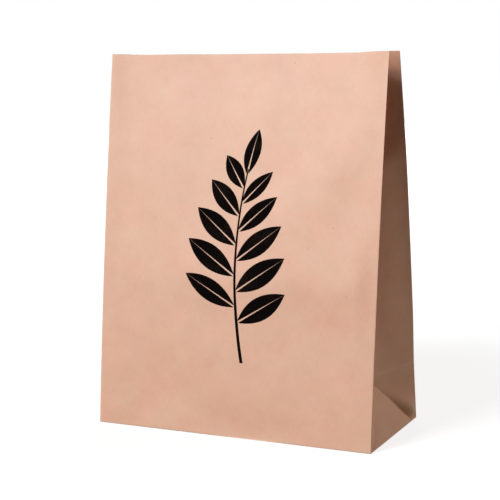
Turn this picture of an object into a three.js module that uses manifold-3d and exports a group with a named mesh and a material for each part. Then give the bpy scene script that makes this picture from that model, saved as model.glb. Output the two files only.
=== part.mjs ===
// A block-bottom lunch bag, folded and glued from one sheet of kraft paper.
// Millimetres, +Z up. The origin is the middle of the bottom and the front panel faces -Y.
// The bag stands square on its bottom, and its gussets fold in more and more towards the mouth.

import * as THREE from "three";
import { mergeVertices } from "three/addons/utils/BufferGeometryUtils.js";
import Module from "manifold-3d";

// Driving dimensions
const bagWidth = 220; // front panel, side fold to side fold
const gussetDepth = 100; // a gusset opened flat, and so the depth of the bottom
const panelHeight = 280; // bottom fold to mouth, along the paper
const mouthGap = 25; // front panel to back panel, along the side folds at the mouth
const panelBow = 3; // how far a panel swells out of a straight lean, half way up
const paperThickness = 0.14;
const flapOverlap = 25; // the lap of one long bottom flap over the other
const seamLap = 15; // the glued lap that closes the sheet into a tube
const seamFromSide = 30; // side fold of the back panel to the nearer edge of that lap
const paperColour = 0xd8ab8e;

// Smoothness
const strips = 10; // flat strips from the knot of the gusset folds up to the mouth

// Worked out from the driving dimensions
const side = bagWidth / 2;
const halfDepth = gussetDepth / 2;
const lean = halfDepth - mouthGap / 2;
const mouthHeight = Math.sqrt(panelHeight ** 2 - lean ** 2);
const flapLength = halfDepth + flapOverlap / 2;

const wasm = await Module();
wasm.setup();

// A point of a side fold, a distance up the paper from the bottom.
// Here y is how far it stands from the middle plane between front and back.
function sideFold(distance) {
  const share = distance / panelHeight;
  const bow = 4 * panelBow * share * (1 - share);
  return { y: halfDepth - lean * share + bow, z: mouthHeight * share };
}

// The crossing, further into the bag, of two circles in the middle plane.
// x counts inwards from the side of the bag, and both centres are below one another or nearly so.
function circlesCross(low, lowRadius, high, highRadius) {
  const way = high.clone().sub(low);
  const apart = way.length();
  const along = (apart ** 2 + lowRadius ** 2 - highRadius ** 2) / (2 * apart);
  const across = Math.sqrt(lowRadius ** 2 - along ** 2);
  const up = way.divideScalar(apart);
  return new THREE.Vector2(low.x + up.x * along + up.y * across, low.y + up.y * along - up.x * across);
}

// The circle of places, in the middle plane, that are half a gusset away from both side folds.
function reachOfFolds(distance) {
  const fold = sideFold(distance);
  const radius = Math.sqrt(halfDepth ** 2 - fold.y ** 2);
  return { centre: new THREE.Vector2(0, fold.z), radius };
}

// The knot, where the folds of a gusset meet, is half a gusset away from the bottom edge as well.
function findKnot() {
  const reach = reachOfFolds(halfDepth);
  return circlesCross(new THREE.Vector2(0, 0), halfDepth, reach.centre, reach.radius);
}

const knot = findKnot();

// A point of the fold down the middle of a gusset, which runs from the knot up to the mouth.
function middleFold(distance) {
  if (distance <= halfDepth) {
    return knot;
  }
  const reach = reachOfFolds(distance);
  return circlesCross(knot, distance - halfDepth, reach.centre, reach.radius);
}

// Levels up the paper: the bottom, the knot, and then even strips to the mouth.
function levelDistances() {
  const above = Array.from({ length: strips + 1 }, (_, i) => i / strips);
  return [0, ...above.map((share) => halfDepth + share * (panelHeight - halfDepth))];
}

const levels = levelDistances();

// Corners of the front and back panels and of the gussets, by name, sign and level.
function foldPoint(name, sign, level) {
  const fold = sideFold(levels[level]);
  const middle = middleFold(levels[level]);
  const points = {
    front: [sign * side, -fold.y, fold.z],
    back: [sign * side, fold.y, fold.z],
    middle: [sign * (side - middle.x), 0, middle.y],
  };
  return new THREE.Vector3(...points[name]);
}

// A strip of flat facets between two lines of points, each facet seen from outside the bag.
function stripFacets(from, to) {
  const facets = [];
  for (let i = 0; i + 1 < from.length; i += 1) {
    facets.push([from[i], to[i], to[i + 1]]);
    facets.push([from[i], to[i + 1], from[i + 1]]);
  }
  return facets;
}

function foldLine(name, sign, firstLevel) {
  const line = levels.map((_, level) => foldPoint(name, sign, level));
  return line.slice(firstLevel);
}

// The same facets seen from their other side.
function turned(facets) {
  return facets.map((facet) => facet.toReversed());
}

// One gusset: a triangle standing on the bottom edge, a wedge on each side of it up to the level
// of the knot, and two leaves that close on the middle fold above.
function gussetFacets(sign) {
  const front = foldLine("front", sign, 0);
  const back = foldLine("back", sign, 0);
  const middle = foldLine("middle", sign, 1);
  const facets = [
    [front[0], back[0], middle[0]],
    [front[0], middle[0], front[1]],
    [back[0], back[1], middle[0]],
    ...turned(stripFacets(middle, front.slice(1))),
    ...stripFacets(middle, back.slice(1)),
  ];
  return sign > 0 ? facets : turned(facets);
}

function wallFacets() {
  return [
    ...stripFacets(foldLine("front", -1, 0), foldLine("front", 1, 0)),
    ...stripFacets(foldLine("back", 1, 0), foldLine("back", -1, 0)),
    ...gussetFacets(1),
    ...gussetFacets(-1),
  ];
}

// The lap of the seam, inside the back panel: a strip of the panel's own facets.
function seamFacets() {
  const back = foldLine("back", 1, 0);
  const outer = back.map((point) => point.clone().setX(side - seamFromSide));
  const inner = back.map((point) => point.clone().setX(side - seamFromSide - seamLap));
  return stripFacets(outer, inner);
}

// How a corner moves so that every facet around it sinks by the same depth.
// A corner on a cut or bottom edge keeps its height.
function sunkCorner(point, normals, depth) {
  const edge = point.z < 1e-6 || isAtMouth(point);
  const planes = normals.map((normal) => ({ normal, sink: depth, weight: 1 }));
  if (edge) {
    planes.push({ normal: new THREE.Vector3(0, 0, 1), sink: 0, weight: 100 });
  }
  const rows = Array.from({ length: 9 }, (_, i) => (i % 4 === 0 ? 1e-6 : 0));
  const right = new THREE.Vector3();
  for (const { normal, sink, weight } of planes) {
    const n = normal.toArray();
    for (let i = 0; i < 9; i += 1) {
      rows[i] += weight * n[i % 3] * n[Math.floor(i / 3)];
    }
    right.addScaledVector(normal, -weight * sink);
  }
  const inverse = new THREE.Matrix3().set(...rows).invert();
  const moved = point.clone().add(right.applyMatrix3(inverse));
  return edge ? moved.setZ(point.z) : moved;
}

function isAtMouth(point) {
  const top = levels.length - 1;
  return ["front", "middle"].some((name) => Math.abs(foldPoint(name, 1, top).z - point.z) < 1e-6);
}

// Paper between two depths below the outer facets, with its cut edges closed.
function paperSolid(facets, nearDepth, farDepth) {
  const keyOf = (point) => point.toArray().map((v) => Math.round(v * 1e4)).join();
  const corners = new Map();
  for (const facet of facets) {
    const normal = new THREE.Triangle(...facet).getNormal(new THREE.Vector3());
    for (const point of facet) {
      const corner = corners.get(keyOf(point)) ?? { point, normals: [] };
      corner.normals.push(normal);
      corners.set(keyOf(point), corner);
    }
  }
  const at = (point, depth) => {
    const corner = corners.get(keyOf(point));
    return sunkCorner(corner.point, corner.normals, depth);
  };
  const triangles = [];
  const open = new Map();
  for (const [a, b, c] of facets) {
    triangles.push([at(a, nearDepth), at(b, nearDepth), at(c, nearDepth)]);
    triangles.push([at(c, farDepth), at(b, farDepth), at(a, farDepth)]);
    for (const [from, to] of [[a, b], [b, c], [c, a]]) {
      const back = `${keyOf(to)} ${keyOf(from)}`;
      if (!open.delete(back)) {
        open.set(`${keyOf(from)} ${keyOf(to)}`, [from, to]);
      }
    }
  }
  for (const [from, to] of open.values()) {
    triangles.push([at(to, nearDepth), at(from, nearDepth), at(from, farDepth)]);
    triangles.push([at(to, nearDepth), at(from, farDepth), at(to, farDepth)]);
  }
  const geometry = new THREE.BufferGeometry().setFromPoints(triangles.flat());
  return solidOf(geometry);
}

// A flap of the bottom: a flat outline, one paper thick, in its layer counted from the floor.
function flapSolid(outline, layer) {
  const shape = new THREE.Shape(outline.map(([x, y]) => new THREE.Vector2(x, y)));
  const geometry = new THREE.ExtrudeGeometry(shape, { depth: paperThickness, bevelEnabled: false });
  geometry.translate(0, 0, layer * paperThickness);
  return solidOf(geometry);
}

// Flaps reach half a thickness into the walls that they fold away from.
const inset = paperThickness / 2;

// A long flap has its ends folded in at 45 degrees. The sign is -1 in front and +1 behind.
function longFlap(sign, layer) {
  const hinge = sign * (halfDepth - inset);
  const free = sign * (halfDepth - flapLength);
  const outline = [
    [-side + inset, hinge],
    [side - inset, hinge],
    [side - flapLength, free],
    [-side + flapLength, free],
  ];
  return flapSolid(sign < 0 ? outline : outline.toReversed(), layer);
}

// A folded-in end of the front flap, tucked between that flap and a gusset's flap.
function tuck(sign, layer) {
  const outline = [
    [sign * (side - inset), -halfDepth + inset],
    [sign * (side - flapLength), -halfDepth + flapLength],
    [sign * (side - flapLength), -halfDepth + inset],
  ];
  return flapSolid(sign > 0 ? outline : outline.toReversed(), layer);
}

function gussetFlap(sign, layer) {
  const reach = halfDepth - inset;
  const outline = [
    [sign * (side - flapLength), -reach],
    [sign * (side - inset), -reach],
    [sign * (side - inset), reach],
    [sign * (side - flapLength), reach],
  ];
  return flapSolid(sign > 0 ? outline : outline.toReversed(), layer);
}

// A closed three.js geometry as a solid, and a solid as a three.js geometry.
function solidOf(geometry) {
  geometry.deleteAttribute("normal");
  geometry.deleteAttribute("uv");
  const merged = mergeVertices(geometry, 1e-5);
  const vertProperties = Float32Array.from(merged.attributes.position.array);
  const triVerts = Uint32Array.from(merged.index.array);
  return new wasm.Manifold(new wasm.Mesh({ numProp: 3, vertProperties, triVerts }));
}

function geometryOf(solid) {
  const mesh = solid.getMesh();
  const geometry = new THREE.BufferGeometry();
  geometry.setAttribute("position", new THREE.BufferAttribute(Float32Array.from(mesh.vertProperties), 3));
  geometry.setIndex(Array.from(mesh.triVerts));
  geometry.computeVertexNormals();
  return geometry;
}

// The bag: walls, seam and the glued layers of the bottom are one sheet and so one solid.
const sheet = [
  paperSolid(seamFacets(), paperThickness / 2, 2 * paperThickness),
  longFlap(-1, 0),
  tuck(-1, 1),
  tuck(1, 1),
  longFlap(1, 1),
  gussetFlap(-1, 2),
  gussetFlap(1, 2),
].reduce((whole, layer) => whole.add(layer), paperSolid(wallFacets(), 0, paperThickness));

const kraft = new THREE.MeshStandardMaterial({ color: paperColour, roughness: 0.9, metalness: 0 });
const bag = new THREE.Mesh(geometryOf(sheet), kraft);
bag.name = "paper_bag";

const group = new THREE.Group();
group.name = "lunch_bag";
group.add(bag);

export default group;
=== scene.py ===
# %% [markdown]
# # A brown paper lunch bag, folded from one sheet
#
# A block-bottom bag starts as a plain rectangle of kraft paper. A machine glues it into a tube,
# presses pleats into its sides and folds one end shut. Paper bends but hardly stretches, so
# the whole bag can be described by one question: where does each point of the flat sheet end up?
#
# This lesson answers it with numpy. We lay a grid on the flat sheet, work out a place in space
# for every grid point, panel by panel, and only then make a mesh. The same flat grid is the
# UV map, so fibres, flecks and ink lie on the paper just as they would on the real sheet.

import bpy
import numpy as np
from mathutils import Matrix, Vector


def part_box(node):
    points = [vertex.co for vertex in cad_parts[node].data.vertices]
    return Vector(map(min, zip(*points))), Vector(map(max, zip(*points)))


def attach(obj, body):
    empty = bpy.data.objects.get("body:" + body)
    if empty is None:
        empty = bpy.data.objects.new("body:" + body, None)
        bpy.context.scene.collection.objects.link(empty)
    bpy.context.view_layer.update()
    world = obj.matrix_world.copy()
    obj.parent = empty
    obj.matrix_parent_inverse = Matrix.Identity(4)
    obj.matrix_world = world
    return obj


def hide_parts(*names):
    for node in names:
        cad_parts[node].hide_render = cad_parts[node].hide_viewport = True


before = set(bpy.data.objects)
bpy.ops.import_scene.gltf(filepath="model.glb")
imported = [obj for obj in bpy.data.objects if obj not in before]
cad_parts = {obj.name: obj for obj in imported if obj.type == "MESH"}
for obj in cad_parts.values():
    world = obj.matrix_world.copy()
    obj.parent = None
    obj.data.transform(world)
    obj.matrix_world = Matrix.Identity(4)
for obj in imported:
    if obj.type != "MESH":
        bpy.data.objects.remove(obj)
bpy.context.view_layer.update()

# %% [markdown]
# ## Sizes
#
# The CAD solid fixes the width and depth of the bottom. The other sizes are those of the flat
# sheet, and they are written in millimetres, because that is how a bag maker would give them.
# Everything becomes metres in one place, when the mesh is made.

# %% Sizes of the bag
MM = 0.001
box_low, box_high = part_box("paper_bag")
WIDTH = round((box_high.x - box_low.x) / MM, 2)  # front panel, fold to fold
DEPTH = round((box_high.y - box_low.y) / MM, 2)  # a gusset opened flat
PANEL = 280.0  # bottom fold to mouth, along the paper
MOUTH_GAP = 25.0  # front panel to back panel at the mouth's corners
SEAM_LAP = 15.0  # glued lap that makes the sheet a tube
SEAM_FROM_SIDE = 30.0  # side fold to the nearer edge of the lap
FLAP_OVERLAP = 25.0  # long bottom flaps, one over the other
FOLD_SHORT = 5.0  # the slanting folds of a gusset start this far from its corners
PAPER = 0.14  # thickness

HALF = DEPTH / 2
SIDE = WIDTH / 2
FLAP = HALF + FLAP_OVERLAP / 2
KNOT_UP = HALF - FOLD_SHORT  # where the folds of a gusset meet, up the paper
SHEET = (2 * (WIDTH + DEPTH) + SEAM_LAP, PANEL + FLAP)
print("flat sheet", SHEET, "mm")

# %% [markdown]
# ## The camera
#
# The camera comes first, so that every later step can be looked at from the right place. Its
# place and its long lens make the corners of a bag of this size fall where they should. A
# camera looks along its own -Z axis, so its matrix has the view's right, up and backward
# directions as columns.

# %% Camera
IMAGE = 500  # pixels, square
SENSOR = 36.0  # mm
FOCAL_PIXELS = 1388.87
AZIMUTH, PITCH, ROLL = np.radians([25.232, 9.061, -0.980])
CAMERA_PLACE = (434.03, -929.87, 294.83)  # mm


def camera_axes(azimuth, pitch, roll):
    """Right, up and forward of a camera that looks along +Y, is turned left by azimuth and
    down by pitch, and is then rolled about its own line of sight."""
    forward = np.array(
        [-np.sin(azimuth) * np.cos(pitch), np.cos(azimuth) * np.cos(pitch), -np.sin(pitch)]
    )
    right = np.array([np.cos(azimuth), np.sin(azimuth), 0.0])
    up = np.cross(right, forward)
    return (
        np.cos(roll) * right + np.sin(roll) * up,
        np.cos(roll) * up - np.sin(roll) * right,
        forward,
    )


view_right, view_up, view_forward = camera_axes(AZIMUTH, PITCH, ROLL)
camera_data = bpy.data.cameras.new("camera")
camera_data.sensor_width = SENSOR
camera_data.lens = FOCAL_PIXELS * SENSOR / IMAGE
camera = bpy.data.objects.new("camera", camera_data)
turn = Matrix(np.column_stack([view_right, view_up, -view_forward]).tolist()).to_4x4()
camera.matrix_world = Matrix.Translation(Vector(CAMERA_PLACE) * MM) @ turn
bpy.context.scene.collection.objects.link(camera)
bpy.context.scene.camera = camera
print("lens", round(camera_data.lens, 2), "mm")

# %% [markdown]
# ## Grid lines on the flat sheet
#
# Lines run 2.5 mm apart, with two more close to each fold, so that a fold can be rounded. The
# gussets also have slanting folds at 45 degrees. Because the lines up the sheet keep the same
# distances as the lines across it, those folds run exactly from grid point to grid point.

# %% Grid lines
STEP = 2.5
SOFT = 0.8  # a fold is rounded this far to each side
NEAR_FOLD = np.array([SOFT / 2, SOFT])


def grid_lines(length, fold_at_start, fold_at_end):
    """Positions from 0 to length, one step apart, with extra ones near the folds at its ends."""
    lines = [np.arange(0, length + STEP / 2, STEP)]
    if fold_at_start:
        lines.append(NEAR_FOLD)
    if fold_at_end:
        lines.append(length - NEAR_FOLD)
    return np.unique(np.concatenate(lines).round(4))


def joined(*pieces):
    """Runs of positions, each starting where the one before it ended."""
    whole = pieces[0]
    for piece in pieces[1:]:
        whole = np.concatenate([whole, whole[-1] + piece[1:]])
    return whole


half_gusset = np.union1d(grid_lines(HALF, True, True), FOLD_SHORT + NEAR_FOLD)
whole_gusset = joined(half_gusset, HALF - half_gusset[::-1])
across = {
    "back start": grid_lines(WIDTH - SEAM_FROM_SIDE, False, True),
    "left gusset": whole_gusset,
    "front": grid_lines(WIDTH, True, True),
    "right gusset": whole_gusset,
    "back end": grid_lines(SEAM_FROM_SIDE + SEAM_LAP, True, False),
}
low_wall = grid_lines(KNOT_UP, True, True)
wall = joined(low_wall, grid_lines(PANEL - KNOT_UP, True, False))
flap = grid_lines(FLAP, True, False)[1:]
print("lines across", sum(map(len, across.values())), "up", len(wall) + len(flap))

# %% [markdown]
# ## Front and back panels
#
# Each panel leans in from the bottom to the mouth and swells a little on the way, because the
# pleats behind it push outwards. Near the mouth the panel sinks in between its two side folds, since
# only the pleats at the ends hold the mouth open. Bags are packed flat, with the bottom folded up
# against the back. That leaves a crease low on the back, a broad soft ridge where the bottom pressed
# against the front, and a slight cockle everywhere.
#
# We write the panel's distance from the middle plane as a formula and then let the paper
# settle its own height: every step up the sheet must keep its length, so what it spends on
# leaning it loses in height. The sag of the mouth's edge follows from that by itself.

# %% Cockle of the paper
RANDOM = np.random.default_rng(7)
WAVES = 16
COCKLE_SLOPE = 0.0017  # height of the tallest wave, for each millimetre of its length
CALM_SIDE, CALM_FOOT = 18.0, 14.0  # the cockle dies out this near to a side fold or the bottom
wave_length = RANDOM.uniform(34, 120, WAVES)
wave_angle = RANDOM.uniform(0, 2 * np.pi, WAVES)
wave_phase = RANDOM.uniform(0, 2 * np.pi, WAVES)
wave_height = COCKLE_SLOPE * wave_length * RANDOM.uniform(0.4, 1.0, WAVES)


def smooth_step(x):
    """0 below 0, 1 above 1, and 3x^2 - 2x^3 between."""
    x = np.clip(x, 0, 1)
    return x * x * (3 - 2 * x)


def bump(x, middle, reach):
    """A bell of height 1, with the shape exp(-(distance / reach)^2)."""
    return np.exp(-(((x - middle) / reach) ** 2))


def cockle(x, v, shift):
    """A sum of sine waves of many lengths and directions."""
    k = 2 * np.pi / wave_length
    phase = (x[..., None] + shift) * np.cos(wave_angle) * k
    phase = phase + v[..., None] * np.sin(wave_angle) * k + wave_phase
    return (np.sin(phase) * wave_height).sum(-1)


def inside_folds(x, v):
    """0 at the side folds and the bottom fold, rising smoothly to 1 within a few millimetres."""
    return smooth_step((SIDE - np.abs(x)) / CALM_SIDE) * smooth_step(v / CALM_FOOT)


print("cockle up to", wave_height.max().round(2), "mm a wave")

# %% Shape of the panels
FRONT_BOW, BACK_BOW = 2.05, 4.4
BOW_SKEW = 0.25  # the front bows this much less on its right
FRONT_PINCH, BACK_PINCH = 5.6, 6.5
PINCH_FROM, PINCH_RUN = 110.0, PANEL - 90.0  # up the paper, and over what length it grows
TWIST = 1.95  # the front's mouth is turned a little about the upright axis
SHIFT = 0.55  # and pressed back a little


def lean(v, bow):
    """A straight line from half the bottom's depth to half the mouth's, plus a parabola."""
    share = v / PANEL
    return HALF - (HALF - MOUTH_GAP / 2) * share + 4 * bow * share * (1 - share)


def pinch(x, v, skew):
    """One less a power across the panel, tipped to one side, growing smoothly with height."""
    along = x / SIDE
    rise = smooth_step((v - PINCH_FROM) / PINCH_RUN)
    return (1 - np.abs(along) ** 2.5) * (1 + skew * along) * rise


print("panels bow by", FRONT_BOW, "and", BACK_BOW, "mm")
print("and are pinched by", FRONT_PINCH, "and", BACK_PINCH, "mm")

# %% Marks of packing, and the panels themselves
LEVEL_RIDGE, LEVEL_UP = 0.7, 114.0  # height, and place up the front
SLANT_RIDGE, SLANT_UP, SLANT_TILT = 0.8, 150.0, 0.65
FOOT_DENT_AT = (18.0, 8.0)  # across and up the front; it is 1 mm deep
CREASE, CREASE_FADE = 1.6, 40.0  # depth of the back's crease, and how far up its valley runs out
BACK_SWELL, BACK_SWELL_UP = 0.9, 205.0
BACK_SHIFT = 400.0  # takes the back's cockle from another part of the pattern


def front_distance(x, v):
    """Lean, less the pinch and the twist, plus a level ridge, a slanting ridge on the right, a
    soft dent at the foot and the cockle."""
    along = x / SIDE
    level = LEVEL_RIDGE * bump(v, LEVEL_UP, 17) * (0.7 + 0.3 * along)
    slant = SLANT_RIDGE * bump(v - SLANT_TILT * x, SLANT_UP, 26) * smooth_step((x + 15) / 60)
    dent = bump(x, FOOT_DENT_AT[0], 30) * bump(v, FOOT_DENT_AT[1], 13)
    marks = (level + slant + cockle(x, v, 0)) * inside_folds(x, v) - dent
    twist = (TWIST * along + SHIFT) * (v / PANEL) ** 1.7
    bowed = lean(v, FRONT_BOW - BOW_SKEW * along)
    return bowed - FRONT_PINCH * pinch(x, v, skew=0.2) - twist + marks


def back_distance(x, v):
    """Lean, less the pinch and a shallow valley at the crease, plus a broad swell and the cockle."""
    rise, fall = smooth_step(v / KNOT_UP), smooth_step((v - KNOT_UP) / CREASE_FADE)
    valley = CREASE * np.where(v < KNOT_UP, rise, 1 - fall)
    swell = BACK_SWELL * bump(v, BACK_SWELL_UP, 50)
    marks = swell - valley + cockle(x, v, BACK_SHIFT) * inside_folds(x, v)
    return lean(v, BACK_BOW) - BACK_PINCH * pinch(x, v, skew=-0.1) + marks


def standing(x, v, y):
    """Points of a panel from its distance y. Each step up the paper keeps its length, so its
    rise is the root of step^2 - change of y^2, and the height is the running sum."""
    rise = np.sqrt(np.diff(v, axis=1) ** 2 - np.diff(y, axis=1) ** 2)
    z = np.concatenate([np.zeros((len(v), 1)), np.cumsum(rise, axis=1)], axis=1)
    return np.stack([x, y, z], axis=-1)


x_across = {
    "front": across["front"] - SIDE,
    "back start": SIDE - SEAM_FROM_SIDE - across["back start"],
    "back end": SIDE - across["back end"],
}
walls = {}
for name, x_line in x_across.items():
    x, v = np.meshgrid(x_line, wall, indexing="ij")
    y = -front_distance(x, v) if name == "front" else back_distance(x, v)
    walls[name] = standing(x, v, y)
mouth = walls["front"][:, -1]
print("front edge of the mouth", mouth[:, 2].min().round(2), "to", mouth[:, 2].max().round(2), "mm up")

# %% [markdown]
# ## Gussets
#
# A gusset is the pleated side. From the bottom edge a triangle leans in to a knot where five
# folds meet, and above the knot the gusset closes like a book along its middle fold. Both leaves of
# the book keep their width, so the middle fold must stay half a gusset away from the front
# fold and from the back fold at every height. In the plane between them that is a circle, and
# the length of the middle fold up from the knot is another: the fold lies where they cross.

# %% Middle fold
below = len(low_wall) - 1  # the row of grid points at the knot's level


def circles_cross(low_in, low_z, low_radius, high_z, high_radius):
    """Crossing, further into the bag, of a circle round (low_in, low_z) with one round (0, high_z).
    All lie in one upright plane, with distances counted inwards from the side of the bag."""
    way = np.stack([np.zeros_like(high_z) - low_in, high_z - low_z])
    apart = np.hypot(*way)
    along = (apart**2 + low_radius**2 - high_radius**2) / (2 * apart)
    off = np.sqrt(np.maximum(low_radius**2 - along**2, 0))
    unit = way / apart
    return low_in + unit[0] * along + unit[1] * off, low_z + unit[1] * along - unit[0] * off


def middle_fold(side, front, back):
    """Points of the fold from the knot to the mouth, for one side's front and back folds."""
    between = (front + back)[below:] / 2
    gap = np.linalg.norm((back - front)[below:], axis=-1) / 2
    reach = np.sqrt(HALF**2 - gap**2)
    knot_in, knot_z = circles_cross(0.0, 0.0, KNOT_UP, between[:1, 2], reach[:1])
    inwards, z = circles_cross(knot_in, knot_z, wall[below:] - KNOT_UP, between[:, 2], reach)
    return np.stack([side * (SIDE - inwards), between[:, 1], z], axis=-1)


folds = {
    1: (walls["front"][-1], walls["back end"][0]),
    -1: (walls["front"][0], walls["back start"][-1]),
}
middles = {side: middle_fold(side, *pair) for side, pair in folds.items()}
print("right knot", middles[1][0].round(1), "fold ends", middles[1][-1].round(1), "mm")

# %% [markdown]
# With the folds in place, the rest is ruled: straight lines from fold to fold. Paper that has
# been pressed and opened again doesn't stay quite flat, though. Low down the leaves swell
# outwards, and near the mouth they are sucked in. At each bottom corner the slanting fold is pushed
# in, and the paper above it rolls over before it turns into the crease.

# %% Swell of the gussets
LEAF_SWELL, LEAF_PULL = 2.0, 4.1  # out low on a leaf, and back in again near the mouth
PULL_FROM, PULL_RUN = 204.0, 20.0  # up the paper, and over what length it grows
PULL_SLANT = 30.0  # it starts this much lower at the middle fold
CORNER_ROLL, ROLL_REACH = 2.6, 6.0  # height of the roll, and how far from its fold it is highest
CORNER_SINK, SINK_REACH = 2.0, 7.0  # depth and half width of the hollow along the fold


def gusset_swell(a, v):
    """How far the paper stands out of its ruled lines, at a from front to back and v up. A squared
    parabola across each leaf, plus a roll r * exp(1 - r) above the slanting folds near the corners,
    less a bell along those folds. The plain lengths are where each of them fades."""
    from_side = np.minimum(a, DEPTH - a)
    share = from_side / HALF
    pulled_in = smooth_step((v - PULL_FROM + PULL_SLANT * share) / PULL_RUN)
    pulled_in = pulled_in * (1 - 0.3 * smooth_step((v - 245) / 35))
    leaf = (4 * share * (1 - share)) ** 2 * smooth_step((v - KNOT_UP) / 60)

    above_fold = v + FOLD_SHORT - from_side
    roll = np.maximum(above_fold, 0) / ROLL_REACH
    at_corner = smooth_step(from_side / 8) * smooth_step(v / 5) * (1 - smooth_step((v - 8) / 30))
    sunk = bump(above_fold, 0, SINK_REACH) * bump(v, 5, 13)
    sunk = sunk * smooth_step(from_side / 3) * smooth_step(v / 2)

    swollen = leaf * (LEAF_SWELL - LEAF_PULL * pulled_in)
    return swollen + CORNER_ROLL * roll * np.exp(1 - roll) * at_corner - CORNER_SINK * sunk


swell = gusset_swell(*np.meshgrid(whole_gusset, wall, indexing="ij"))
print("gussets swell by", swell.min().round(2), "to", swell.max().round(2), "mm")

# %% Gusset walls


def gusset_wall(side):
    """Points on lines a (front to back) by v (bottom to mouth). Below the knot there is a flat
    triangle, with a wedge between each of its slanting edges and the fold beside it. Above,
    each leaf is ruled straight from its side fold to the middle fold."""
    front, back = folds[side]
    middle = middles[side]
    knot = middle[0]

    def triangle(a, v):
        """Points of the plane through the bottom edge and the knot."""
        foot = front[0] + (back[0] - front[0]) * a / DEPTH
        return foot + (knot - (front[0] + back[0]) / 2) * v / KNOT_UP

    a, v = np.meshgrid(whole_gusset, wall, indexing="ij")
    a, v = a[..., None], v[..., None]
    slant = v + FOLD_SHORT
    wedge_front = front + (triangle(slant, v) - front) * a / slant
    wedge_back = back + (triangle(DEPTH - slant, v) - back) * (DEPTH - a) / slant
    ridge = np.concatenate([np.repeat(knot[None], below, axis=0), middle])
    leaf_front = front + (ridge - front) * a / HALF
    leaf_back = back + (ridge - back) * (DEPTH - a) / HALF
    above = v >= KNOT_UP
    points = np.select(
        [above & (a <= HALF), above, a <= slant, DEPTH - a <= slant],
        [leaf_front, leaf_back, wedge_front, wedge_back],
        triangle(a, v),
    )
    along_a, along_v = np.gradient(points, whole_gusset, wall, axis=(0, 1))
    out = side * np.cross(along_a, along_v)
    return points + swell[..., None] * out / np.linalg.norm(out, axis=-1, keepdims=True)


walls["right gusset"] = gusset_wall(1)
walls["left gusset"] = gusset_wall(-1)[::-1]
print("gusset grid", walls["right gusset"].shape[:2])

# %% [markdown]
# ## The block bottom
#
# The tube runs on below the bottom edge and folds shut. The two gusset flaps go in first. Then
# the long back flap and the long front flap come over them, with their ends turned in at 45
# degrees. On the flat sheet a turned-in end is a corner triangle, and folding it is a mirror
# image in the slanting line: its distance from the side and its distance down the flap change
# places. Each layer lies a little above the one outside it.

# %% Flaps
LAYER = 0.18  # one paper and a film of glue
FLAT_LAYER = {"front": 0, "back": 2, "gusset": 6}  # counted up from the floor
END_LAYER = {"front": 1, "back": 4}  # the turned-in ends of the long flaps
LIFT_RUN = 4.0  # a layer reaches its height this far from the fold it starts from


def lift(layer, w):
    """Height of a layer, rising smoothly from the fold that it starts from."""
    return LAYER * layer * smooth_step(w / LIFT_RUN)


def long_flap(x, panel, face):
    """Points at x across and w down one long flap; face is -1 in front and +1 behind."""
    x, w = np.meshgrid(x, flap, indexing="ij")
    from_side = SIDE - np.abs(x)
    turned = w > from_side
    over = smooth_step((w - from_side) / (2 * STEP) + 0.5)
    layer = FLAT_LAYER[panel] + (END_LAYER[panel] - FLAT_LAYER[panel]) * over
    return np.stack(
        [
            np.where(turned, np.sign(x) * (SIDE - w), x),
            face * (HALF - np.where(turned, from_side, w)),
            lift(layer, w),
        ],
        axis=-1,
    )


def gusset_flap(side):
    """Points of a plain rectangle, folded in from the side."""
    a, w = np.meshgrid(whole_gusset, flap, indexing="ij")
    return np.stack([side * (SIDE - w), a - HALF, lift(FLAT_LAYER["gusset"], w)], axis=-1)


flaps = {
    "front": long_flap(x_across["front"], "front", -1),
    "back start": long_flap(x_across["back start"], "back", 1),
    "back end": long_flap(x_across["back end"], "back", 1),
    "right gusset": gusset_flap(1),
    "left gusset": gusset_flap(-1)[::-1],
}
print("flaps", {name: points.shape[:2] for name, points in flaps.items()})

# %% [markdown]
# ## One sheet again
#
# Now the panels are laid side by side in the order in which they follow on the sheet, with the flaps
# below the walls. Neighbours share the line of points on their fold. The gusset's points win there,
# since its flap is the deepest layer.

# %% Join the panels into one grid
ORDER = ["back start", "left gusset", "front", "right gusset", "back end"]
HAIR = 1e-3  # mm, taken off a position so that a search finds its line and not the next one


def whole_panel(name):
    """Flap rows, from the free edge up, and then wall rows."""
    return np.concatenate([flaps[name][:, ::-1], walls[name]], axis=1)


panels = [whole_panel(name) for name in ORDER]
sheet = np.concatenate(
    [panels[0][:-1], panels[1], panels[2][1:-1], panels[3], panels[4][1:]], axis=0
)
u_lines = joined(*(across[name] for name in ORDER))
v_lines = np.concatenate([-flap[::-1], wall])
fold_places = np.cumsum([across[name][-1] for name in ORDER])[:-1].round(4)
fold_columns = np.searchsorted(u_lines, fold_places - HAIR)
u_left, u_front, u_right, u_end = u_lines[fold_columns]
middle_columns = np.searchsorted(u_lines, np.array([u_left, u_right]) + HALF - HAIR)
bottom_row = len(flap)
crease_row = bottom_row + below
print("grid", sheet.shape, "sheet", u_lines[-1], "x", v_lines[-1] - v_lines[0])

# %% [markdown]
# ## Rounded folds
#
# A fold in paper isn't a knife edge: the fibres turn over a fraction of a millimetre. Averaging a
# bent line over a short window turns its corner into a parabola. For a line with the same step on both
# sides, that moves the corner by a quarter of the bend between its outer neighbours, and the points
# half way by a sixteenth.

# %% Round the folds


def round_fold(points, at):
    """Rounds the fold along index at of the first axis, in place."""
    bend = points[at + 2] - 2 * points[at] + points[at - 2]
    points[at] += bend / 4
    points[at - 1] += bend / 16
    points[at + 1] += bend / 16


for column in (*fold_columns, *middle_columns):
    round_fold(sheet, column)
by_rows = sheet.swapaxes(0, 1)
for row in (bottom_row, crease_row):
    round_fold(by_rows, row)
print("rounded", len(fold_columns) + len(middle_columns), "upright folds and 2 level ones")

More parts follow.
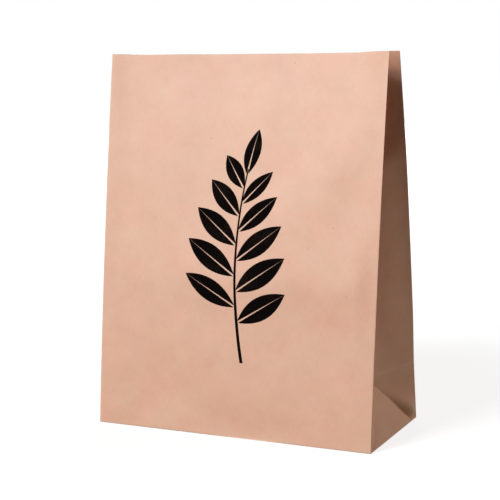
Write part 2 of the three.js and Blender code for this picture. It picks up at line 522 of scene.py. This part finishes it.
# %% [markdown]
# Two things are left. The start of the sheet must lie under the glued lap at its end, so it moves in
# by a little more than the paper's thickness. And the machine's knife never cuts the mouth quite
# straight: the edge lies a millimetre or so off the line, and the paper is let in or out towards it.

# %% Lay the lap and trim the mouth
LAP_DEPTH = 1.6 * PAPER
LAP_RAMP = 8.0  # the paper comes back out over this width
TRIM_RUN = 25.0  # the trim is spread over this height
LEAF_TALLER = 1.05  # the middle of a gusset leaf stands this much higher at the mouth
TRIM = [  # place across the sheet, and how much is taken off the edge there
    (0, 1.2),
    (u_left, 0.9),
    (u_front, 0.25),
    (u_front + 14, 0.95),
    (u_front + 40, 0.4),
    (u_front + 60, 0.0),
    (u_right - 15, -0.4),
    (u_right, -0.75),
    (u_end, -0.3),
    (u_end + 15, 1.1),
]

along_u, along_v = np.gradient(sheet, u_lines, v_lines, axis=(0, 1))
inwards = np.cross(along_v, along_u)
inwards /= np.maximum(np.linalg.norm(inwards, axis=-1, keepdims=True), 1e-9)  # never by 0
inwards[:, :bottom_row, 2] = np.abs(inwards[:, :bottom_row, 2])
under_lap = 1 - smooth_step((u_lines - SEAM_LAP) / LAP_RAMP)
sheet += inwards * (LAP_DEPTH * under_lap)[:, None, None]

trim = np.interp(u_lines, *np.transpose(TRIM))
for start in (u_left, u_right):
    share = np.clip(np.minimum(u_lines - start, start + DEPTH - u_lines) / HALF, 0, 1)
    trim -= 4 * LEAF_TALLER * share * (1 - share)
near_mouth = smooth_step((v_lines - PANEL + TRIM_RUN) / TRIM_RUN)
sheet -= along_v * (trim[:, None] * near_mouth)[..., None]
sheet[..., 2] -= sheet[..., 2].min() - PAPER / 2
print("stands", sheet[..., 2].max().round(2), "mm high")

# %% [markdown]
# ## The mesh
#
# Each cell of the grid is one four-sided face, apart from the cells that a slanting fold cuts from
# corner to corner, which become two triangles. Those slanting edges are marked sharp. So are the cut
# edges of the sheet, because smooth shading would otherwise make the paper look rounded there. A
# Solidify modifier then gives the sheet its thickness, and puts the inner skin in a second material.

# %% Faces
SAME = 1e-6  # mm, two positions as near as this are one
cols, rows = sheet.shape[:2]
number = np.arange(cols * rows).reshape(cols, rows)


def on_slanting_fold(u, v):
    """True on the 45 degree folds: below the knots of the gussets and at the ends of the flaps."""
    found = np.zeros(np.broadcast(u, v).shape, bool)
    for start in (u_left, u_right):
        a = u - start
        low = (v > -SAME) & (v < KNOT_UP + SAME)
        slant = v + FOLD_SHORT
        found |= low & ((np.abs(a - slant) < SAME) | (np.abs(DEPTH - a - slant) < SAME))
    before_start = -SEAM_FROM_SIDE  # the fold at u_end, counted back round the bag
    for fold, way in ((before_start, 1), (u_left, -1), (u_front, 1), (u_right, -1), (u_end, 1)):
        found |= (v < SAME) & (np.abs((u - fold) * way + v) < SAME)
    return found


slanting = on_slanting_fold(u_lines[:, None], v_lines[None, :])
corner = [number[:-1, :-1], number[1:, :-1], number[1:, 1:], number[:-1, 1:]]
on = [slanting.ravel()[c] for c in corner]
rising, falling = on[0] & on[2], on[1] & on[3]
plain = ~(rising | falling)
faces = np.stack([c[plain] for c in corner], axis=-1).tolist()
for mask, split in ((rising, ((0, 1, 2), (0, 2, 3))), (falling, ((0, 1, 3), (1, 2, 3)))):
    for three in split:
        faces += np.stack([corner[i][mask] for i in three], axis=-1).tolist()
print(int(plain.sum()), "plain cells,", int((~plain).sum()), "cut by a slanting fold")

# %% Mesh and sharp edges
mesh = bpy.data.meshes.new("paper_bag_sheet")
mesh.from_pydata((sheet.reshape(-1, 3) * MM).tolist(), [], faces)
mesh.polygons.foreach_set("use_smooth", np.ones(len(mesh.polygons), bool))
edge = np.empty(2 * len(mesh.edges), int)
mesh.edges.foreach_get("vertices", edge)
edge = edge.reshape(-1, 2)
column, row = edge // rows, edge % rows
is_sharp = slanting.ravel()[edge].all(axis=1)
is_sharp &= (column[:, 0] != column[:, 1]) & (row[:, 0] != row[:, 1])
for place, last in ((column, cols - 1), (row, rows - 1)):
    is_sharp |= (place == 0).all(axis=1) | (place == last).all(axis=1)
mesh.edges.foreach_set("use_edge_sharp", is_sharp)
print(len(mesh.vertices), "points", len(mesh.polygons), "faces", int(is_sharp.sum()), "sharp edges")

# %% [markdown]
# The UV map is the flat sheet itself, from 0 to 1 each way. Two attributes go with it. Broken fibres
# are paler, so wear is high on folds and cut edges and falls off within a millimetre or so. The side
# folds are palest near the foot: partly rubbed wear, and partly a painted highlight where the fold
# catches the light. The folds behind, the folds of the pleats and the edge of the mouth have seen
# less handling, so they have less of it.
#
# The other attribute, sheen, is how much is left of the glaze that a hot roller gives the paper. The
# pleats are bent to and fro each time a bag is opened, which dulls them, least of all near the mouth.

# %% UV map
flat = np.stack(np.meshgrid(u_lines, v_lines - v_lines[0], indexing="ij"), axis=-1)
flat_uv = (flat / np.array(SHEET)).reshape(-1, 2)
loop_vertex = np.empty(len(mesh.loops), int)
mesh.loops.foreach_get("vertex_index", loop_vertex)
mesh.uv_layers.new(name="sheet").data.foreach_set("uv", flat_uv[loop_vertex].ravel())
print("UV map up to", flat_uv.max(axis=0))

# %% Wear
FOLD_REACH, FOOT_REACH = 0.9, 1.4  # how fast the wear falls off
QUIET = 0.35  # wear of a fold that little has rubbed against
# The paleness at the foot of the side folds is partly rubbed wear and partly a painted highlight where
# the fold catches the light; it dies out over this height.
RUB_AND_HIGHLIGHT_RUN = 30.0  # the rubbing at the foot dies out over this height
FOOT_WEAR, FOOT_SPARED = 0.8, 0.6  # on the bottom fold, and how much less of it under the gussets
CREASE_WEAR, MOUTH_WEAR, CUT_WEAR = 0.5, 0.25, 0.9


def fading(distance, reach):
    """exp(-distance / reach), the same to both sides."""
    return np.exp(-np.abs(distance) / reach)


def plateau(x, start, stop):
    """1 between start and stop and 0 beyond them, changing over the 2 mm about each."""
    outside = np.maximum(start - x, x - stop)
    return 1 - smooth_step(outside / 2 + 0.5)


u, v = u_lines[:, None], v_lines[None, :]
from_side_fold = np.abs(u - u_lines[fold_columns]).min(axis=1, keepdims=True)
from_middle = np.abs(u - u_lines[middle_columns]).min(axis=1, keepdims=True)
from_cut = np.minimum(u_lines[-1] - u, v - v_lines[0])
behind = (u < u_lines[middle_columns[0]]) | (u > u_lines[middle_columns[1]])
in_gusset = np.maximum(plateau(u, u_left, u_left + DEPTH), plateau(u, u_right, u_right + DEPTH))
# Rubbed wear on the side folds, strongest at the foot, where it also stands for a painted highlight
# along the fold.
rubbed_and_highlit = (QUIET + (1 - QUIET) * fading(v, RUB_AND_HIGHLIGHT_RUN)) * np.where(behind, QUIET, 1.0)
wear_and_highlight = np.zeros((cols, rows))
for worn_and_highlit_place in (
    fading(from_side_fold, FOLD_REACH) * rubbed_and_highlit,
    fading(from_middle, FOLD_REACH) * QUIET * (v > KNOT_UP),
    fading(v, FOOT_REACH) * (FOOT_WEAR - FOOT_SPARED * in_gusset),
    fading(v - KNOT_UP, FOLD_REACH) * CREASE_WEAR * behind,
    fading(v - PANEL, FOLD_REACH) * MOUTH_WEAR,
    fading(from_cut, FOLD_REACH) * CUT_WEAR,
):
    wear_and_highlight = np.maximum(wear_and_highlight, worn_and_highlit_place)
# This attribute is wear, and near the foot of the side folds also a painted highlight.
mesh.attributes.new("wear_and_highlight", "FLOAT", "POINT").data.foreach_set("value", wear_and_highlight.ravel())
print("wear on", int((wear_and_highlight > 0.5).sum()), "points")

# %% Sheen and thickness
GUSSET_DULL = 0.66
DULL_TO, DULL_RUN = 215.0, 45.0  # from here up, over this length, the dulling falls to half

dulled = GUSSET_DULL * (1 - 0.5 * smooth_step((v - DULL_TO) / DULL_RUN))
sheen = 1 - in_gusset * dulled
mesh.attributes.new("sheen", "FLOAT", "POINT").data.foreach_set("value", sheen.ravel())

bag = bpy.data.objects.new("paper_bag_shell", mesh)
bpy.context.scene.collection.objects.link(bag)
thickness = bag.modifiers.new("paper thickness", "SOLIDIFY")
thickness.thickness = PAPER * MM
thickness.offset = 0.0
thickness.material_offset = 1
thickness.material_offset_rim = 1
print("sheen from", sheen.min().round(2), "to", sheen.max().round(2))

# %% [markdown]
# ## Kraft paper
#
# Unbleached paper is never one colour. Fibres lie mostly along the way the paper ran through the
# machine, which is up the bag. Thicker and thinner places make soft clouds, some patches are rosier
# and others more like straw, and here and there a dark fleck of bark is caught in it. All of
# that is one node group, because the outside and the inside of the bag share it. The group works in
# millimetres on the flat sheet.

# %% Node helpers


def add_node(tree, kind, inputs=None, **settings):
    """A node with its settings, and with each named input linked to a socket or set to a value."""
    node = tree.nodes.new(kind)
    for key, value in settings.items():
        setattr(node, key, value)
    for key, value in (inputs or {}).items():
        if isinstance(value, bpy.types.NodeSocket):
            tree.links.new(value, node.inputs[key])
        else:
            node.inputs[key].default_value = value
    return node


def maths(tree, operation, a, b=0.0):
    """The result of one sum on numbers."""
    return add_node(tree, "ShaderNodeMath", {0: a, 1: b}, operation=operation).outputs[0]


def vector_maths(tree, operation, a, b):
    """The result of one sum on vectors or colours, part by part."""
    return add_node(tree, "ShaderNodeVectorMath", {0: a, 1: b}, operation=operation).outputs[0]


def remap(tree, value, from_low, from_high, to_low, to_high):
    """The value carried in a straight line from one range to another, and held at its ends."""
    inputs = {"Value": value, 1: from_low, 2: from_high, 3: to_low, 4: to_high}
    return add_node(tree, "ShaderNodeMapRange", inputs).outputs[0]


def mix_colour(tree, factor, a, b):
    """Colour a where the factor is 0, and b where it is 1."""
    inputs = {"Factor": factor, 6: a, 7: b}
    return add_node(tree, "ShaderNodeMix", inputs, data_type="RGBA").outputs[2]


def noise(tree, place, scale, detail, roughness):
    """Cloudy noise, about 0.5 on average."""
    inputs = {"Vector": place, "Scale": scale, "Detail": detail, "Roughness": roughness}
    return add_node(tree, "ShaderNodeTexNoise", inputs).outputs[0]


# %% The kraft group
KRAFT_PALE = (0.713, 0.415, 0.288, 1)
KRAFT_DEEP = (0.627, 0.349, 0.233, 1)
TINT_ROSY = (1.012, 0.965, 0.975, 1)  # the colour is multiplied by a tint between these two
TINT_STRAW = (0.988, 1.035, 1.025, 1)
# The pale of broken fibres; on the side folds near the foot it also serves as a painted highlight.
KRAFT_WORN_AND_HIGHLIT = (0.80, 0.52, 0.39, 1)
KRAFT_FLECK = (0.20, 0.105, 0.06, 1)
CLOUDS, PATCHES = 0.055, 0.045  # to the millimetre
PATCH_SLICE = (0.0, 0.0, 100.0)  # the patches come from another slice of the noise
FIBRES = (1.3, 0.22, 1.0)  # to the millimetre across, and fewer along
FLECK_CELLS = (0.16, 0.10, 1.0)
FLECK_CHANCE, FLECK_SIZE, FLECK_STRENGTH = 0.982, 0.080, 0.55  # cells below that chance have none
CLOUD_SHARE, FIBRE_SHARE = 0.55, 0.45


def kraft_group():
    """Colour, roughness and height of the paper, from the place on the sheet and from the wear, which
    on the side folds near the foot is partly a painted highlight.
    """
    tree = bpy.data.node_groups.new("kraft paper", "ShaderNodeTree")
    for name, kind, way in (
        ("Sheet mm", "NodeSocketVector", "INPUT"),
        ("Wear and highlight", "NodeSocketFloat", "INPUT"),
        ("Color", "NodeSocketColor", "OUTPUT"),
        ("Roughness", "NodeSocketFloat", "OUTPUT"),
        ("Height", "NodeSocketFloat", "OUTPUT"),
    ):
        tree.interface.new_socket(name, in_out=way, socket_type=kind)
    given = tree.nodes.new("NodeGroupInput").outputs
    result = tree.nodes.new("NodeGroupOutput").inputs
    place = given["Sheet mm"]

    cloud = noise(tree, place, CLOUDS, 4.0, 0.6)
    patch = noise(tree, vector_maths(tree, "ADD", place, PATCH_SLICE), PATCHES, 3.0, 0.55)
    fibre = noise(tree, vector_maths(tree, "MULTIPLY", place, FIBRES), 1.0, 5.0, 0.65)
    cell_place = vector_maths(tree, "MULTIPLY", place, FLECK_CELLS)
    cell = add_node(
        tree, "ShaderNodeTexVoronoi", {"Vector": cell_place, "Scale": 1.0}, voronoi_dimensions="2D"
    ).outputs
    chance = add_node(tree, "ShaderNodeSeparateColor", {"Color": cell["Color"]}).outputs[0]
    fleck_size = remap(tree, chance, FLECK_CHANCE, 1.0, 0.0, FLECK_SIZE)
    inside_fleck = maths(tree, "SUBTRACT", fleck_size, cell["Distance"])
    fleck = remap(tree, inside_fleck, 0.0, 0.02, 0.0, FLECK_STRENGTH)

    cloud_part = maths(tree, "MULTIPLY", cloud, CLOUD_SHARE)
    tone = maths(tree, "ADD", cloud_part, maths(tree, "MULTIPLY", fibre, FIBRE_SHARE))
    colour = mix_colour(tree, remap(tree, tone, 0.30, 0.70, 0.0, 1.0), KRAFT_DEEP, KRAFT_PALE)
    tint = mix_colour(tree, remap(tree, patch, 0.32, 0.68, 0.0, 1.0), TINT_STRAW, TINT_ROSY)
    colour = vector_maths(tree, "MULTIPLY", colour, tint)
    # Wear mixes in the paler colour; near the foot of the side folds that paleness is partly a painted
    # highlight.
    worn_and_highlit = maths(tree, "MULTIPLY", given["Wear and highlight"], remap(tree, fibre, 0.35, 0.65, 0.25, 0.75))
    colour = mix_colour(tree, worn_and_highlit, colour, KRAFT_WORN_AND_HIGHLIT)
    colour = mix_colour(tree, fleck, colour, KRAFT_FLECK)
    tree.links.new(colour, result["Color"])
    tree.links.new(remap(tree, fibre, 0.3, 0.7, 0.90, 0.78), result["Roughness"])
    tree.links.new(tone, result["Height"])
    return tree


KRAFT = kraft_group()
print("kraft group", len(KRAFT.nodes), "nodes")

# %% [markdown]
# ## Ink
#
# The front carries a plain black sprig, as stock bags often do. A leaf is the space between two
# parabolas: at a share t along its length it is 4 t (1 - t) of its full width. That is easy to say
# with a few maths nodes, so one small group draws any leaf, and a table places them. Each row makes
# a pair, because the group sees the distance from the stem and not the side. The left leaves are
# moved up so that the two sides alternate.

# %% The leaf group
RIB_ROOT, RIB_TIP = 0.55, -0.1  # half widths of the bare rib, which runs out before the tip
EDGE = (-0.1, 0.15)  # ink goes from none to full between these distances inside an outline


def leaf_group():
    """1 inside a leaf and off its rib, for a leaf with its root, turn, length and half width."""
    tree = bpy.data.node_groups.new("printed leaf", "ShaderNodeTree")
    for name, kind in (
        ("Place", "NodeSocketVector"),
        ("Root", "NodeSocketVector"),
        ("Turn", "NodeSocketFloat"),
        ("Length", "NodeSocketFloat"),
        ("Half width", "NodeSocketFloat"),
    ):
        tree.interface.new_socket(name, in_out="INPUT", socket_type=kind)
    tree.interface.new_socket("Mask", in_out="OUTPUT", socket_type="NodeSocketFloat")
    given = tree.nodes.new("NodeGroupInput").outputs
    result = tree.nodes.new("NodeGroupOutput").inputs

    from_root = vector_maths(tree, "SUBTRACT", given["Place"], given["Root"])
    turning = {"Vector": from_root, "Angle": given["Turn"]}
    laid = add_node(tree, "ShaderNodeVectorRotate", turning, rotation_type="Z_AXIS").outputs[0]
    along, across_leaf = add_node(tree, "ShaderNodeSeparateXYZ", {0: laid}).outputs[:2]
    t = maths(tree, "DIVIDE", along, given["Length"])
    rest = maths(tree, "SUBTRACT", 1.0, t)
    half = maths(tree, "MULTIPLY", maths(tree, "MULTIPLY", t, rest), given["Half width"])
    off = maths(tree, "ABSOLUTE", across_leaf)
    body = maths(tree, "SUBTRACT", maths(tree, "MULTIPLY", half, 4.0), off)
    rib_low, rib_high = maths(tree, "MULTIPLY", rest, RIB_ROOT), maths(tree, "MULTIPLY", t, RIB_TIP)
    beside_rib = maths(tree, "SUBTRACT", off, maths(tree, "ADD", rib_low, rib_high))
    leaf = maths(tree, "MINIMUM", body, beside_rib)
    tree.links.new(remap(tree, leaf, *EDGE, 0.0, 1.0), result["Mask"])
    return tree


LEAF = leaf_group()
print("leaf group", len(LEAF.nodes), "nodes")

# %% The sprig
SPRIG_UP = 129.0  # its middle, up the front
SPRIG_AT = (WIDTH - SEAM_FROM_SIDE + DEPTH + WIDTH / 2, FLAP + SPRIG_UP)  # on the sheet
SPRIG_SCALE = 1.12
SPRIG_BEND = 0.0016  # sideways, for each square millimetre up the stem
STEM_LOW, STEM_HIGH = -66.0, 60.0
STEM_WIDE, STEM_THIN = 1.2, 0.5  # half widths at the foot and the top
LEFT_UP = 10.0
SPRIG_LEAVES = [  # up the stem, degrees from it, length, half width
    (-40, 60, 41, 7.2),
    (-20, 56, 42, 7.6),
    (0, 52, 39, 7.2),
    (19, 46, 34, 6.4),
    (37, 39, 28, 5.4),
]
TOP_LEAF = (56, 0, 30, 5.6)


def sprig_mask(tree, place):
    """1 inside the printed sprig. The stem bends by a parabola, which the leaves follow."""
    from_middle = vector_maths(tree, "SUBTRACT", place, (*SPRIG_AT, 0.0))
    local = vector_maths(tree, "DIVIDE", from_middle, (SPRIG_SCALE,) * 3)
    x, y = add_node(tree, "ShaderNodeSeparateXYZ", {0: local}).outputs[:2]
    bend = maths(tree, "MULTIPLY", maths(tree, "MULTIPLY", y, y), SPRIG_BEND)
    x = maths(tree, "SUBTRACT", x, bend)
    off = maths(tree, "ABSOLUTE", x)
    moved = maths(tree, "MULTIPLY", maths(tree, "LESS_THAN", x, 0.0), LEFT_UP)
    pair_y = maths(tree, "SUBTRACT", y, moved)
    pair = add_node(tree, "ShaderNodeCombineXYZ", {0: off, 1: pair_y}).outputs[0]
    single = add_node(tree, "ShaderNodeCombineXYZ", {0: off, 1: y}).outputs[0]

    stem = maths(tree, "SUBTRACT", remap(tree, y, STEM_LOW, STEM_HIGH, STEM_WIDE, STEM_THIN), off)
    from_stem_middle = maths(tree, "SUBTRACT", y, (STEM_LOW + STEM_HIGH) / 2)
    half_stem = (STEM_HIGH - STEM_LOW) / 2
    ends = maths(tree, "SUBTRACT", half_stem, maths(tree, "ABSOLUTE", from_stem_middle))
    ink = remap(tree, maths(tree, "MINIMUM", stem, ends), *EDGE, 0.0, 1.0)
    leaves = [(pair, *row) for row in SPRIG_LEAVES] + [(single, *TOP_LEAF)]
    for where, root, angle, length, half in leaves:
        inputs = {
            "Place": where,
            "Root": (0, root, 0),
            "Turn": np.radians(angle - 90),
            "Length": length,
            "Half width": half,
        }
        leaf = add_node(tree, "ShaderNodeGroup", inputs, node_tree=LEAF).outputs["Mask"]
        ink = maths(tree, "MAXIMUM", ink, leaf)
    return ink


print("sprig of", 2 * len(SPRIG_LEAVES) + 1, "leaves at", SPRIG_AT, "mm on the sheet")

# %% [markdown]
# ## Outside and inside
#
# Both skins of the sheet are the same paper. Each is a material of its own, so that the
# outside can carry ink that doesn't show on the inside. Ink sinks into the paper: it keeps the
# paper's relief, and thin places in the paper take a little less of it. The glaze is a coat on top,
# broad and soft, and the ink hides it.

# %% Materials
INK = (0.002, 0.0012, 0.001, 1)
GLAZE = 0.65  # weight of the coat where all of the sheen is left
GLAZE_ROUGHNESS, GLAZE_IOR = 0.40, 1.55
PAPER_SPECULAR = 0.025  # almost none: under its glaze the paper is matt
RELIEF, RELIEF_DEPTH = 0.25, 0.0003  # strength, and metres


def kraft_material(name, printed):
    """Kraft paper with relief and glaze. Where it is printed, ink covers its colour and its glaze."""
    material = bpy.data.materials.new(name)
    material.use_nodes = True
    tree = material.node_tree
    shader = tree.nodes["Principled BSDF"].inputs
    uv = add_node(tree, "ShaderNodeUVMap", uv_map="sheet").outputs[0]
    place = vector_maths(tree, "MULTIPLY", uv, (*SHEET, 1.0))
    # Wear, with a painted highlight on the side folds near the foot.
    wear_and_highlight_here = add_node(tree, "ShaderNodeAttribute", attribute_name="wear_and_highlight").outputs["Fac"]
    glaze = add_node(tree, "ShaderNodeAttribute", attribute_name="sheen").outputs["Fac"]
    inputs = {"Sheet mm": place, "Wear and highlight": wear_and_highlight_here}
    paper = add_node(tree, "ShaderNodeGroup", inputs, node_tree=KRAFT).outputs
    colour = paper["Color"]
    if printed:
        taken = remap(tree, paper["Height"], 0.36, 0.50, 0.99, 1.0)
        ink = maths(tree, "MULTIPLY", sprig_mask(tree, place), taken)
        colour = mix_colour(tree, ink, colour, INK)
        glaze = maths(tree, "MULTIPLY", glaze, maths(tree, "SUBTRACT", 1.0, ink))
    inputs = {"Height": paper["Height"], "Strength": RELIEF, "Distance": RELIEF_DEPTH}
    relief = add_node(tree, "ShaderNodeBump", inputs).outputs[0]
    tree.links.new(colour, shader["Base Color"])
    tree.links.new(paper["Roughness"], shader["Roughness"])
    tree.links.new(relief, shader["Normal"])
    tree.links.new(maths(tree, "MULTIPLY", glaze, GLAZE), shader["Coat Weight"])
    shader["Coat Roughness"].default_value = GLAZE_ROUGHNESS
    shader["Coat IOR"].default_value = GLAZE_IOR
    shader["Specular IOR Level"].default_value = PAPER_SPECULAR
    return material


mesh.materials.append(kraft_material("kraft_outside", printed=True))
mesh.materials.append(kraft_material("kraft_inside", printed=False))
print("materials", [material.name for material in mesh.materials])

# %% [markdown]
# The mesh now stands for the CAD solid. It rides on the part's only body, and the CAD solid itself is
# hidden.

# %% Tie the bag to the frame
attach(bag, "root")
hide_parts("paper_bag")
print(bag.name, "rides on root")

# %% [markdown]
# ## Studio
#
# A wide pale floor and an even white surround. Both are white to the camera and in reflections, and
# much dimmer as light on the bag, so that its own colours stay true. The floor still takes the
# bag's shadow, because only part of its white is a glow.

# %% Floor
FLOOR_REACH = 6.0
FLOOR_UNSEEN = (0.08, 0.08, 0.08, 1)  # for the light that the floor throws back
FLOOR_SEEN = (0.30, 0.30, 0.30, 1)
GLOW_NEAR, GLOW_FAR = (0.2, 0.80), (1.2, 1.0)  # metres from the bag, and how bright

quarters = ((-1, -1), (1, -1), (1, 1), (-1, 1))
floor_corners = [(x * FLOOR_REACH, y * FLOOR_REACH, 0) for x, y in quarters]
floor_data = bpy.data.meshes.new("floor")
floor_data.from_pydata(floor_corners, [], [(0, 1, 2, 3)])
floor = bpy.data.objects.new("floor", floor_data)
bpy.context.scene.collection.objects.link(floor)


def seen_as_background(tree):
    """1 for rays from the camera, for reflections and for rays through glass, and 0 for diffuse
    light."""
    path = add_node(tree, "ShaderNodeLightPath").outputs
    clear = maths(tree, "MAXIMUM", path["Is Glossy Ray"], path["Is Transmission Ray"])
    return maths(tree, "MAXIMUM", path["Is Camera Ray"], clear)


floor_material = bpy.data.materials.new("pale_floor")
floor_material.use_nodes = True
tree = floor_material.node_tree
tree.nodes.clear()
seen = seen_as_background(tree)
tone = mix_colour(tree, seen, FLOOR_UNSEEN, FLOOR_SEEN)
lit = add_node(tree, "ShaderNodeBsdfDiffuse", {"Color": tone}).outputs[0]
spot = add_node(tree, "ShaderNodeTexCoord").outputs["Object"]
away = add_node(tree, "ShaderNodeVectorMath", {0: spot}, operation="LENGTH").outputs["Value"]
fade = remap(tree, away, GLOW_NEAR[0], GLOW_FAR[0], GLOW_NEAR[1], GLOW_FAR[1])
strength = maths(tree, "MULTIPLY", seen, fade)
glow = add_node(tree, "ShaderNodeEmission", {"Strength": strength}).outputs[0]
both = add_node(tree, "ShaderNodeAddShader", {0: lit, 1: glow}).outputs[0]
add_node(tree, "ShaderNodeOutputMaterial", {"Surface": both})
floor_data.materials.append(floor_material)
print("floor", 2 * FLOOR_REACH, "m wide")

# %% World
AMBIENT = 0.015  # the surround as light on the bag; to the eye it is 1

world = bpy.data.worlds.new("surround")
bpy.context.scene.world = world
world.use_nodes = True
tree = world.node_tree
surround = tree.nodes["Background"].inputs
surround["Color"].default_value = (1, 1, 1, 1)
brightness = remap(tree, seen_as_background(tree), 0.0, 1.0, AMBIENT, 1.0)
tree.links.new(brightness, surround["Strength"])
print("surround lights the bag by", AMBIENT)

# %% [markdown]
# The key light is a broad soft lamp from the front left, high enough to shine over the front's edge
# onto the pleat behind it. A second one stands low beside it, as a white card would, and evens the
# front out from top to foot. A small warm fill on the right keeps the pleats from going black, and a
# lamp behind lights the back for anyone who walks round the bag.

# %% Lamps
AIM_UP = 0.14  # the lamps face the middle of the bag


def soft_lamp(name, azimuth, elevation, distance, size, power):
    """A square lamp at a bearing from the bag, turned to face its middle."""
    a, e = np.radians([azimuth, elevation])
    way = Vector((np.sin(a) * np.cos(e), -np.cos(a) * np.cos(e), np.sin(e)))
    data = bpy.data.lights.new(name, "AREA")
    data.size = size
    data.energy = power
    lamp = bpy.data.objects.new(name, data)
    facing = way.to_track_quat("Z", "Y").to_matrix().to_4x4()
    lamp.matrix_world = Matrix.Translation(way * distance + Vector((0, 0, AIM_UP))) @ facing
    bpy.context.scene.collection.objects.link(lamp)
    return lamp


key = soft_lamp("key", azimuth=-25, elevation=34, distance=6.4, size=2.4, power=344)
card = soft_lamp("card", azimuth=-26, elevation=12, distance=6.4, size=2.0, power=124)
fill = soft_lamp("fill", azimuth=110, elevation=22, distance=2.0, size=0.5, power=14.6)
fill.data.color = (1.0, 0.95, 0.87)
back = soft_lamp("back", azimuth=200, elevation=12, distance=3.2, size=1.4, power=48)
for lamp in (key, card, fill, back):
    print(lamp.name, "lamp at", [round(x, 2) for x in lamp.matrix_world.translation])

# %% Finish
bpy.context.scene.view_settings.view_transform = "Standard"
